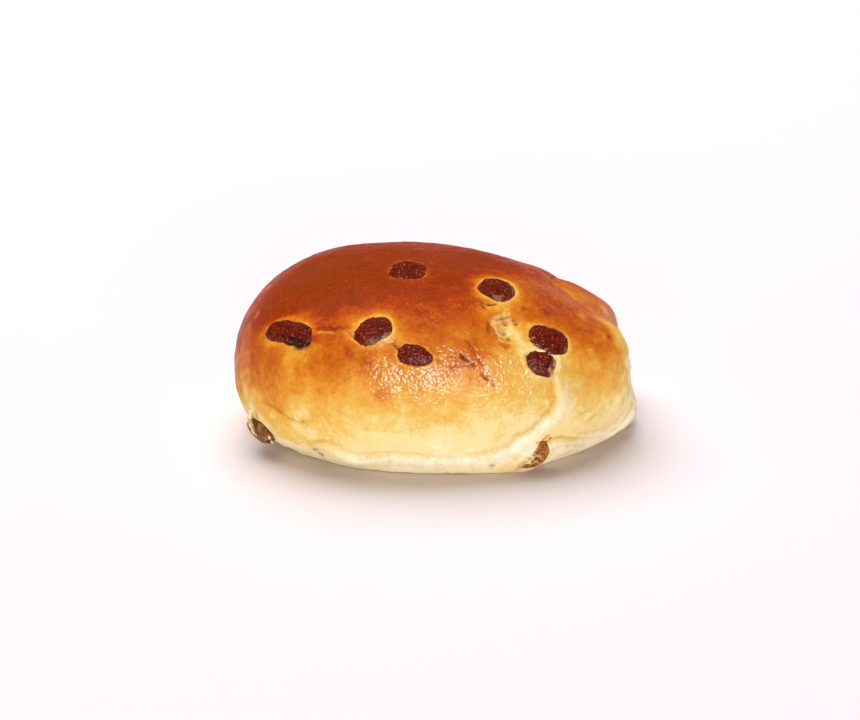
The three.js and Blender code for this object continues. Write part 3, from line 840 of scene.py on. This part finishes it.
shader = node(tree, "BsdfPrincipled", {
    "Base Color": layered(tree, baked, crust_layers),
    "Roughness": 0.6,
    "IOR": 1.45,
    "Specular IOR Level": 0.15,
    "Coat Weight": glossy,
    "Coat Roughness": 0.07,
    "Coat IOR": 1.45,
    "Subsurface Weight": 0.08,
    "Subsurface Radius": (0.002, 0.001, 0.0004),
    "Normal": crust_bump,
    "Coat Normal": glaze_bump,
})
node(tree, "OutputMaterial", {"Surface": shader})

dough = mesh_piece("sweet_dough", shown, dough_faces, crust)


def paint(piece, **layers):
    """Stores values for the places of a piece, which its material reads by name."""
    for name, values in layers.items():
        attribute = piece.data.attributes.new(name, "FLOAT", "POINT")
        attribute.data.foreach_set("value", values.astype(np.float32))


paint(dough, bake=bake, glaze=glaze, crumb=crumb, stain=stain)
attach(dough, "root")
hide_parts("dough")


# ======================================== the raisins
# Dried grapes, soaked soft and kneaded into the dough, which holds each one in its pocket. Their
# skin is thin, dark red-brown and finely wrinkled, with a little shine from the egg wash.
RAISIN_FINENESS = 5
WRINKLE_SIZE = 2.6
WRINKLE_HEIGHT = 0.2
PEBBLE_SIZE = 0.8
PEBBLE_HEIGHT = 0.22
PEBBLE_MIDDLE = 0.7
PEBBLE_GROOVE = 0.55
PEBBLE_STEP = 11.7
PEBBLE_SHIFT = 0.25
SKIN_LIGHT = 0.15
PEBBLE_LIGHT = 0.5
WRINKLE_LIGHT = 0.25
LOWEST = 0.1

# Wrinkled raisin skin, matt with a thin gloss where it is wet with glaze. The colours run from the
# grooves, painted darkest as their shade, to the tops of the pebbles. The two raisins that baked in
# the wet foot are amber, a lighter and browner kind. Fine specks are painted pale as glints, and
# films of dough are paler still.
SKIN_COLOURS = [
    (0.0, "#380a00"), (0.3, "#621400"), (0.6, "#7a1e00"), (0.85, "#9a3a0e"), (1.0, "#cc8a56"),
]
AMBER_COLOURS = [(0.0, "#3a1e04"), (0.35, "#74440c"), (0.65, "#945a14"), (1.0, "#d8a854")]
SKIN_GLINT_COLOUR = "#d28e5e"
FILM_COLOUR = "#f0cf98"
BLOTCH_SIZE = 0.7692
SPECK_SIZE = 0.6667
SPECK_HEIGHT = 0.12
raisin_skin = empty_material("wrinkled_raisin_skin")
tree = raisin_skin.node_tree
where = node(tree, "TexCoord", output="Object")
raised, light_brown, filmed = (
    node(tree, "Attribute", output="Fac", attribute_name=name)
    for name in ("ridge", "amber", "film")
)
blotch = node(tree, "TexNoise", {
    "Vector": where, "Scale": per_metre(BLOTCH_SIZE), "Roughness": 0.6,
})
blotched = node(tree, "Math", {0: blotch, 1: 0.5, 2: raised}, operation="MULTIPLY_ADD")
height = node(tree, "Math", {0: blotched, 1: 0.25}, operation="SUBTRACT")
red_brown = node(tree, "ValToRGB", {"Fac": height}, SKIN_COLOURS)
amber_brown = node(tree, "ValToRGB", {"Fac": height}, AMBER_COLOURS)
speck_away = node(tree, "TexVoronoi", {"Vector": where, "Scale": per_metre(SPECK_SIZE)})
speck_top = node(tree, "MapRange", {
    "Value": speck_away, "From Min": 0.42, "From Max": 0.1,
}, interpolation_type="SMOOTHSTEP")
# Some of the painted glints are much paler than others.
chance = node(tree, "SeparateXYZ", {"Vector": speck_away.node.outputs["Color"]})
pale_some = node(tree, "MapRange", {
    "Value": chance, "From Min": 0.35, "From Max": 1.0, "To Max": 0.75,
})
painted_skin_glints = node(tree, "Math", {0: speck_top, 1: pale_some}, operation="MULTIPLY")
film_patchy = node(tree, "Math", {0: blotch, 1: 1.6}, operation="MULTIPLY")
film_share = node(tree, "Math", {0: filmed, 1: film_patchy}, operation="MULTIPLY")
skin_layers = [
    (light_brown, amber_brown),
    (painted_skin_glints, linear(SKIN_GLINT_COLOUR)),
    (film_share, linear(FILM_COLOUR)),
]
speck_bump = node(tree, "Bump", {"Distance": SPECK_HEIGHT / 1000, "Height": speck_top})
shader = node(tree, "BsdfPrincipled", {
    "Base Color": layered(tree, red_brown, skin_layers),
    "Roughness": 0.4,
    "IOR": 1.45,
    "Specular IOR Level": 0.15,
    "Coat Weight": 0.15,
    "Coat Roughness": 0.14,
    "Subsurface Weight": 0.05,
    "Subsurface Radius": (0.001, 0.0003, 0.0001),
    "Normal": speck_bump,
})
node(tree, "OutputMaterial", {"Surface": shader})


def unit_ball(fineness):
    """The places and the faces of a ball of radius 1 in even triangles."""
    ball = bmesh.new()
    bmesh.ops.create_icosphere(ball, subdivisions=fineness, radius=1)
    places = unit([v.co for v in ball.verts])
    faces = np.array([[v.index for v in f.verts] for f in ball.faces])
    ball.free()
    return places, faces


def pebbles(places, size, seed):
    """1 on the middle of each pebble of a random pattern, 0 in the grooves between them."""
    shifted = places / size + PEBBLE_STEP * seed
    gaps = [noise.voronoi(Vector(p))[0] for p in shifted]
    return smooth(np.array([gap[1] - gap[0] for gap in gaps]), 0, PEBBLE_GROOVE)


# Films of dough over parts of the raisins: place, how far each reaches, how well it hides the
# skin, and how soft its edge is.
FILMS = [
    ((-15.5, -35.8, 36.6), 1.6, 0.2, 0.9), ((-12.3, -34.8, 37.6), 1.6, 0.3, 0.9),
    ((16.5, -19.8, 43.4), 1.6, 0.25, 0.9), ((19.5, -19.3, 43), 1.2, 0.3, 0.9),
    ((24.7, -29.4, 33.7), 0.7, 0.8, 0.4), ((25.4, -30.2, 32.9), 0.4, 0.8, 0.4),
    ((34.4, -27.6, 32), 1.2, 0.25, 0.9), ((31.2, -30.8, 29), 1.5, 0.6, 0.6),
    ((30, -32.4, 27.4), 1.2, 0.5, 0.6), ((24.2, -35, 3.9), 1.9, 0.85, 0.3),
    ((25.3, -34.8, 4.6), 1.1, 0.7, 0.4), ((22.9, -34.9, 3.2), 0.8, 0.6, 0.4),
    ((-45.3, -26.8, 10.6), 1.4, 0.15, 0.9), ((-43.8, -27, 6.8), 1.1, 0.25, 0.9),
    ((-46.3, -26.5, 6.8), 0.8, 0.1, 0.9),
    ((-12, -9.1, 48.2), 0.9, 0.5, 0.5), ((-9.8, -16.8, 47.1), 0.8, 0.5, 0.5),
]
FILM_THICKNESS = 0.25
FILM_RAGGED = 0.9
FILM_EDGE = 1.1
FILM_DEEPEST = 7
FILM_BEYOND = 5

# How amber some raisins are, and how much lighter one is that swelled in the wet dough. The lower
# side of the left raisin is rolled under, and it and the groove along it are painted nearly black
# as their shade: it has the roll's middle along and across the raisin, and its half length and half
# width.
AMBER = {"raisin_left_foot": 1, "raisin_front_foot": 0.55}
SWOLLEN = {"raisin_front_foot": 0.45}
ROLLED_UNDER = {"raisin_left": ((5.0, -2.7), (4.0, 1.0))}
ROLL_PAINTED_SHADE = 0.5
ROLL_GROOVE_WIDTH = 0.3
ROLL_GROOVE_DEPTH = 0.45

ball_places, ball_faces = unit_ball(RAISIN_FINENESS)
for seed, (name, pocket) in enumerate(POCKETS.items()):
    middle, along, across, out = raisin_axes(pocket)
    axes = np.stack((along, across, out))
    n = pocket["square"]
    reach = (np.abs(ball_places) ** n).sum(1) ** (-1 / n)
    size = np.array(pocket["size"])
    local = ball_places * reach[:, None] * size / 2
    local[:, 1] *= 1 - pocket["point"] * np.clip(local[:, 0] / size[0] * 2, -1, 1)
    local[:, :2] *= wavy(local[:, 0], local[:, 1], seed)[:, None]
    local[:, 1] += bent(local[:, 0] / size[0] * 2, pocket)
    ridges = 1 - 2 * np.abs(lumps(local, WRINKLE_SIZE, 2, seed + 20))
    ridges = (ridges - ridges.mean()) / (ridges.max() - ridges.min())
    pebbled = pebbles(local + PEBBLE_SHIFT * ridges[:, None], PEBBLE_SIZE, seed)
    facing = unit(local / size**2)
    raised = WRINKLE_HEIGHT * ridges + PEBBLE_HEIGHT * (pebbled - PEBBLE_MIDDLE)
    local += facing * raised[:, None]
    rolled = np.zeros(len(local))
    if name in ROLLED_UNDER:
        roll_middle, roll_size = np.array(ROLLED_UNDER[name])
        rolled = np.exp(-((((local[:, :2] - roll_middle) / roll_size) ** 2).sum(1) ** 2))
        groove_middle = roll_middle + (0, roll_size[1])
        groove_size = (roll_size[0], ROLL_GROOVE_WIDTH)
        groove = np.exp(-((((local[:, :2] - groove_middle) / groove_size) ** 2).sum(1)))
        local -= facing * (ROLL_GROOVE_DEPTH * groove)[:, None]
        rolled = np.maximum(rolled, groove)
    places = middle + local @ axes
    film = np.zeros(len(places))
    patchy = lumps(places, 1.2, 3, 50)
    for place, film_reach, hides, softness in FILMS:
        offset = places - np.array(place)
        height = offset @ out
        away = np.linalg.norm(offset - np.outer(height, out), axis=1)
        away += FILM_BEYOND * (np.abs(height) > FILM_DEEPEST)
        ragged = away / film_reach * (1 + FILM_RAGGED * patchy)
        film = np.maximum(film, hides * (1 - smooth(ragged, FILM_EDGE - softness, FILM_EDGE)))
    places += (facing @ axes) * (FILM_THICKNESS * film)[:, None]
    places[:, 2] = np.maximum(places[:, 2], LOWEST)
    raisin = mesh_piece(name + "_skin", places, ball_faces, raisin_skin)
    # The grooves are painted darker as their shade, and the rolled-under side as its shadow.
    light = SKIN_LIGHT + PEBBLE_LIGHT * pebbled + WRINKLE_LIGHT * ridges
    light += SWOLLEN.get(name, 0.0) - ROLL_PAINTED_SHADE * rolled
    amber = np.full(len(places), AMBER.get(name, 0.0))
    paint(raisin, ridge=light, amber=amber, film=film)
    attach(raisin, "root")
    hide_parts(name)


# ======================================== the scraps
# Scraps of dough that tore off the crust and stuck to the raisins: strands drawn over the one in
# the left foot, and wet crumbs and flaps at the edges of the others. They baked dry and pale.
SCRAP_FINENESS = 4
SCRAP_STEPS = 40
SCRAP_FLATNESS = 0.7
SCRAP_LUMPS = 0.35
SCRAP_BAKE = 0.3
SCRAP_BAKE_PER_MM_UP = 0.004
SCRAP_UNEVEN_BAKE = 0.2
SCRAP_GLAZE = 0.5
SCRAP_CRUMB = 0.3
SCRAP_STAIN = 0.3

# Each has the places along it, its half width, and how much narrower its far end is.
SCRAPS = [
    # a strand over the raisin in the left foot, and the fringe at its lower end
    ([(-48.6, -23.6, 14), (-48.9, -23.4, 12.4), (-49.2, -23.6, 10.6), (-48.7, -25.4, 9.6),
      (-48, -26.5, 8.2), (-47.2, -26.6, 6.8)], 1.1, 0.7),
    ([(-44, -28.4, 8), (-43.6, -28.2, 6.9)], 0.4, 0),
    ([(-43.4, -27.6, 6.2), (-43.1, -27.1, 5.2)], 0.35, 0),
    # crumbs on the raisin in the front foot
    ([(23.4, -35.5, 4), (24.2, -35.5, 4.6)], 0.7, 0),
    ([(24.2, -35.1, 3.2), (25, -35, 3.6)], 0.7, 0),
    ([(24.9, -35.2, 4.8), (25.6, -35.1, 5.1)], 0.5, 0),
    ([(22.7, -35.2, 3), (22.1, -35.3, 2.3)], 0.5, 0),
    ([(25.7, -35.1, 5.7), (26.1, -35.1, 5.9)], 0.35, 0),
    # crumbs and a wet ridge between the two raisins on the right
    ([(24.3, -29.4, 34.8), (24.8, -30.1, 33.8)], 0.45, 0),
    ([(25.5, -30.4, 33.3), (26.6, -30.6, 32.9), (28.6, -30.4, 32.6)], 0.35, 0),
    # the flap over the right end of the low raisin
    ([(31.2, -30.2, 31), (32.3, -31, 29.4), (31.8, -32.2, 27.8), (30.2, -33.4, 26.6)], 0.28, 0),
    # the wet rim at the lower right of the front raisin
    ([(-14, -35.2, 37.4), (-12.4, -35.2, 37.5), (-11.3, -35.6, 37)], 0.35, 0),
]
scrap_ball, scrap_faces = unit_ball(SCRAP_FINENESS)
scrap_places, all_faces = [], []
for path, half_width, taper in SCRAPS:
    line = smooth_path(path, SCRAP_STEPS)[0]
    along = unit(np.gradient(line, axis=0))
    out = outward_at(onto_dough(line))
    across = unit(np.cross(out, along))
    out = np.cross(along, across)
    spot = (scrap_ball[:, 0] + 1) / 2 * (len(line) - 1)
    middle, beside, above = (
        np.stack([np.interp(spot, range(len(line)), part[:, i]) for i in range(3)], 1)
        for part in (line, across, out)
    )
    width = half_width * (1 - taper * spot / len(line))[:, None]
    flat = beside * scrap_ball[:, 1:2] + SCRAP_FLATNESS * above * scrap_ball[:, 2:3]
    places = middle + width * flat
    places += SCRAP_LUMPS * half_width * above * lumps(places, 0.9, 2, 70)[:, None]
    all_faces.append(scrap_faces + len(scrap_places) * len(scrap_ball))
    scrap_places.append(places)
scrap_places = np.concatenate(scrap_places)
scraps = mesh_piece("torn_scraps", scrap_places, np.concatenate(all_faces), crust)
scrap_bake = SCRAP_BAKE + SCRAP_BAKE_PER_MM_UP * scrap_places[:, 2]
paint(
    scraps,
    bake=scrap_bake + SCRAP_UNEVEN_BAKE * lumps(scrap_places, 1.5, 2, 71),
    glaze=np.full(len(scrap_places), SCRAP_GLAZE),
    crumb=np.full(len(scrap_places), SCRAP_CRUMB),
    stain=SCRAP_STAIN * smooth(lumps(scrap_places, 1.2, 2, 72), 0.15, 0.4),
)
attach(scraps, "root")
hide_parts("dough")


# ======================================== the studio
# A white table that runs out of sight, and white walls up to eye height under a dark ceiling. The
# light is soft, from above and from the front. None of it is part of the bun. Lengths here are in
# metres.
TABLE_COLOUR = "#e9e1e4"
TABLE_HALF_SIDE = 6
table = bpy.data.materials.new("white_table")
table.use_nodes = True
table_shader = table.node_tree.nodes["Principled BSDF"]
table_shader.inputs["Base Color"].default_value = linear(TABLE_COLOUR)
table_shader.inputs["Roughness"].default_value = 0.9
table_shader.inputs["Specular IOR Level"].default_value = 0.1
mesh = bpy.data.meshes.new("table")
corners = np.array([(-1, -1, 0), (1, -1, 0), (1, 1, 0), (-1, 1, 0)]) * TABLE_HALF_SIDE
mesh.from_pydata(corners.tolist(), [], [(0, 1, 2, 3)])
mesh.materials.append(table)
floor = bpy.data.objects.new("table", mesh)
bpy.context.scene.collection.objects.link(floor)

# The walls' light falls off above eye height, between these two rises of the line of sight.
WALL_COLOUR = "#ffe4ea"
WALL_TOP = (0.05, 0.3)
WALL_LIGHT = 0.4
CEILING_LIGHT = 0.05
world = bpy.data.worlds.new("white_walls")
bpy.context.scene.world = world
world.use_nodes = True
tree = world.node_tree
tree.nodes.clear()
direction = node(tree, "TexCoord")
rise = node(tree, "SeparateXYZ", {"Vector": direction}, output="Z")
wall = node(tree, "MapRange", {
    "Value": rise, "From Min": WALL_TOP[0], "From Max": WALL_TOP[1], "To Min": WALL_LIGHT,
    "To Max": CEILING_LIGHT,
}, interpolation_type="SMOOTHSTEP")
background = node(tree, "Background", {"Color": linear(WALL_COLOUR), "Strength": wall})
node(tree, "OutputWorld", {"Surface": background})

# Each light: the direction it shines from, its sides in metres, its power in watts, its colour, and
# whether it is there for reflections alone. The softbox over the front makes the crust glisten, the
# small lamp overhead and the one behind on the right put a faint gloss on the top and the right
# shoulder, the broad light above throws the shadow forwards, and the low one fills the front.
LIGHTS = {
    "softbox": ((0.22, -0.872, 0.438), (1.5, 1.5), 94, "#ffffff", True),
    "high_lamp": ((-0.05, 0.05, 0.99), (0.5, 0.5), 3, "#ffffff", True),
    "side_lamp": ((0.62, 0.76, 0.2), (1.5, 1), 10, "#ffffff", True),
    "top_light": ((-0.2, 0.35, 0.91), (3.4, 3), 156, "#ffffff", False),
    "front_fill": ((0.1, -0.985, 0.13), (2.4, 0.6), 62, "#fff5f7", False),
}
LIGHT_DISTANCE = 3
for name, (towards, sides, power, colour, reflected) in LIGHTS.items():
    light = bpy.data.lights.new(name, "AREA")
    light.shape = "RECTANGLE"
    light.size, light.size_y = sides
    light.energy = power
    light.color = linear(colour)[:3]
    lamp = bpy.data.objects.new(name, light)
    towards = Vector(towards).normalized()
    lamp.location = towards * LIGHT_DISTANCE
    lamp.rotation_euler = towards.to_track_quat("Z", "Y").to_euler()
    lamp.visible_glossy = reflected
    lamp.visible_diffuse = not reflected
    bpy.context.scene.collection.objects.link(lamp)

bpy.context.scene.view_settings.view_transform = "Standard"

# The camera looks down at the bun from in front, in degrees above the table. Its distance and the
# place it looks at are in millimetres, and so are its lens and the width of its sensor.
CAMERA_HEIGHT_ANGLE = 21
CAMERA_DISTANCE = 558
CAMERA_TARGET = np.array((-1.4, 0, 18.5))
LENS_LENGTH = 85
SENSOR_WIDTH = 36
lens = bpy.data.cameras.new("camera")
lens.lens = LENS_LENGTH
lens.sensor_width = SENSOR_WIDTH
camera = bpy.data.objects.new("camera", lens)
angle = math.radians(CAMERA_HEIGHT_ANGLE)
back = Vector((0, -math.cos(angle), math.sin(angle)))
camera.location = Vector((CAMERA_TARGET + shift) / 1000) + back * CAMERA_DISTANCE / 1000
camera.rotation_euler = back.to_track_quat("Z", "Y").to_euler()
bpy.context.scene.collection.objects.link(camera)
bpy.context.scene.camera = camera
